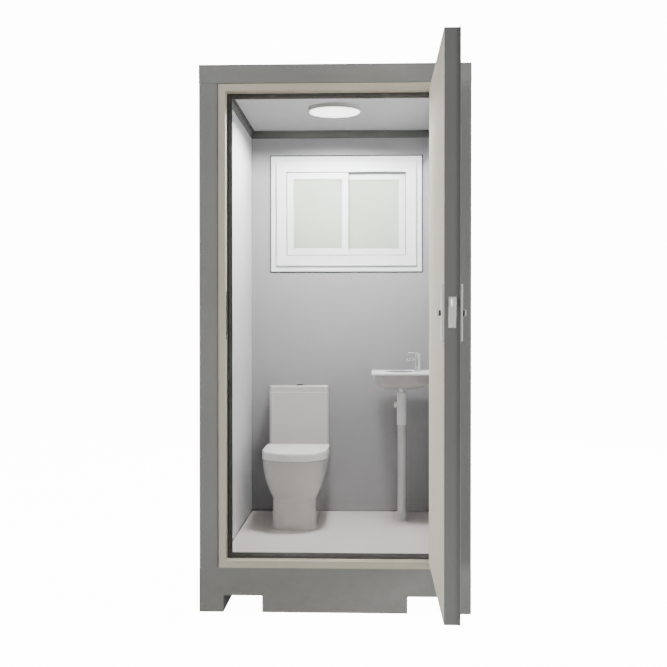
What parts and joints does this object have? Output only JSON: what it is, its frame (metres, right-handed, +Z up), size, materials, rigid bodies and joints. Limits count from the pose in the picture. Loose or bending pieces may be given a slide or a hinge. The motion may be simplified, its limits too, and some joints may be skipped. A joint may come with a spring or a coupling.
{
  "type": "toilet container",
  "caption": "Steel-framed toilet cabin with insulated walls, open hinged door, sliding window, close-coupled toilet, wall basin with tap, ceiling light and fork pockets in the base",
  "frame": {"origin": "the middle of the base's footprint, on the ground plane, on the underside of the centre beam", "axes": "+Z up, +X to the right of a person who faces the door, +Y from the door into the cabin"},
  "size_m": [1.24, 2.419, 2.5],
  "materials": {
    "frame_grey": "satin paint",
    "galvanised": "dull zinc",
    "wall_sheet": "satin paint",
    "insulation_wool": "matte fibre",
    "lining_white": "smooth satin laminate",
    "board": "raw plywood",
    "vinyl": "matte sheet",
    "trim_grey": "satin",
    "frame_cream": "satin paint",
    "stop_dark": "matte",
    "seal_rubber": "matte",
    "door_skin": "satin paint",
    "door_edge": "satin",
    "strike_dark": "satin",
    "hinge_steel": "brushed",
    "lock_steel": "brushed",
    "plate_grey": "satin",
    "lever_white": "gloss",
    "collar_dark": "satin",
    "window_white": "satin",
    "pane": "frosted",
    "china": "glazed",
    "seat_white": "gloss",
    "button_dark": "satin",
    "pipe_white": "gloss",
    "valve_grey": "matte",
    "tap_chrome": "polished",
    "light_rim": "satin",
    "light_lens": "opal"
  },
  "bodies": {
    "cabin": {"end_base_rails": "frame_grey", "side_base_rails": "frame_grey", "fork_pockets": "frame_grey", "floor_joists": "galvanised", "corner_posts": "frame_grey", "roof_frame": "frame_grey", "roof_sheet": "wall_sheet", "ceiling_panel": "lining_white", "ceiling_trim": "trim_grey", "insulation": "insulation_wool", "floor_board": "board", "floor_vinyl": "vinyl", "side_wall_panels": "wall_sheet", "rear_wall_panel": "wall_sheet", "wall_linings": "lining_white", "door_frame": "frame_cream", "door_stop": "stop_dark", "door_seal": "seal_rubber", "strike_plate": "strike_dark", "hinge_frame_leaves": "hinge_steel", "hinge_pins": "hinge_steel", "window_frame": "window_white", "window_casings": "window_white", "toilet_pan": "china", "cistern": "china", "cistern_lid": "china", "cistern_valves": "valve_grey", "flush_button_ring": "button_dark", "seat_hinge_posts": "tap_chrome", "soil_pipe": "pipe_white", "basin": "china", "basin_waste": "tap_chrome", "bottle_trap": "pipe_white", "drain_pipe": "pipe_white", "tap_body": "tap_chrome", "light_base": "light_rim", "light_diffuser": "light_lens"},
    "door": {"hinge_door_leaves": "hinge_steel", "door_outer_skin": "frame_grey", "door_edge_frame": "door_edge", "door_core": "insulation_wool", "door_inner_skin": "door_skin", "lock_case": "lock_steel", "lock_faceplate": "lock_steel", "backplates": "plate_grey"},
    "handle": {"door_levers": "lever_white", "lever_collars": "collar_dark", "spindle": "lock_steel"},
    "latch": {"latch_bolt": "lock_steel"},
    "left_window": {"left_sash": "window_white", "left_glass": "pane"},
    "right_window": {"right_sash": "window_white", "right_glass": "pane"},
    "flush_full": {"flush_button_full": "button_dark"},
    "flush_half": {"flush_button_half": "button_dark"},
    "seat": {"toilet_seat": "seat_white"},
    "lid": {"toilet_lid": "seat_white"},
    "tap_top": {"tap_head": "tap_chrome"},
    "tap_arm": {"tap_lever": "tap_chrome"}
  },
  "joints": [
    {"name": "door_hinge", "type": "hinge", "parent": "cabin", "child": "door", "pos_m": [0.4995, -0.7115, 1.3], "axis": [0, 0, 1], "range_deg": [-90, 80]},
    {"name": "handle_turn", "type": "hinge", "parent": "door", "child": "handle", "pos_m": [0.458, -1.675, 1.358], "axis": [-1, 0, 0], "range_deg": [0, 40], "stiffness_Nm_per_rad": 2, "springref_deg": -20.05},
    {"name": "latch_slide", "type": "slide", "parent": "door", "child": "latch", "axis": [0, 1, 0], "range_m": [0, 0.011]},
    {"name": "left_window_slide", "type": "slide", "parent": "cabin", "child": "left_window", "axis": [1, 0, 0], "range_m": [0, 0.335]},
    {"name": "right_window_slide", "type": "slide", "parent": "cabin", "child": "right_window", "axis": [-1, 0, 0], "range_m": [0, 0.335]},
    {"name": "flush_full_press", "type": "slide", "parent": "cabin", "child": "flush_full", "axis": [0, 0, -1], "range_m": [0, 0.005], "stiffness_N_per_m": 300, "springref_m": -0.002},
    {"name": "flush_half_press", "type": "slide", "parent": "cabin", "child": "flush_half", "axis": [0, 0, -1], "range_m": [0, 0.005], "stiffness_N_per_m": 300, "springref_m": -0.002},
    {"name": "seat_hinge", "type": "hinge", "parent": "cabin", "child": "seat", "pos_m": [-0.241, 0.346, 0.619], "axis": [-1, 0, 0], "range_deg": [0, 95]},
    {"name": "lid_hinge", "type": "hinge", "parent": "seat", "child": "lid", "pos_m": [-0.241, 0.346, 0.619], "axis": [1, 0, 0], "range_deg": [-95, 0]},
    {"name": "tap_swivel", "type": "hinge", "parent": "cabin", "child": "tap_top", "pos_m": [0.42, 0.32, 1.14], "axis": [0, 0, 1], "range_deg": [-45, 45]},
    {"name": "tap_lift", "type": "hinge", "parent": "tap_top", "child": "tap_arm", "pos_m": [0.42, 0.32, 1.1513], "axis": [0, 1, 0], "range_deg": [0, 22]}
  ],
  "couplings": [
    {"joint": "latch_slide", "follows": "handle_turn", "m_per_rad": 0.01575}
  ]
}
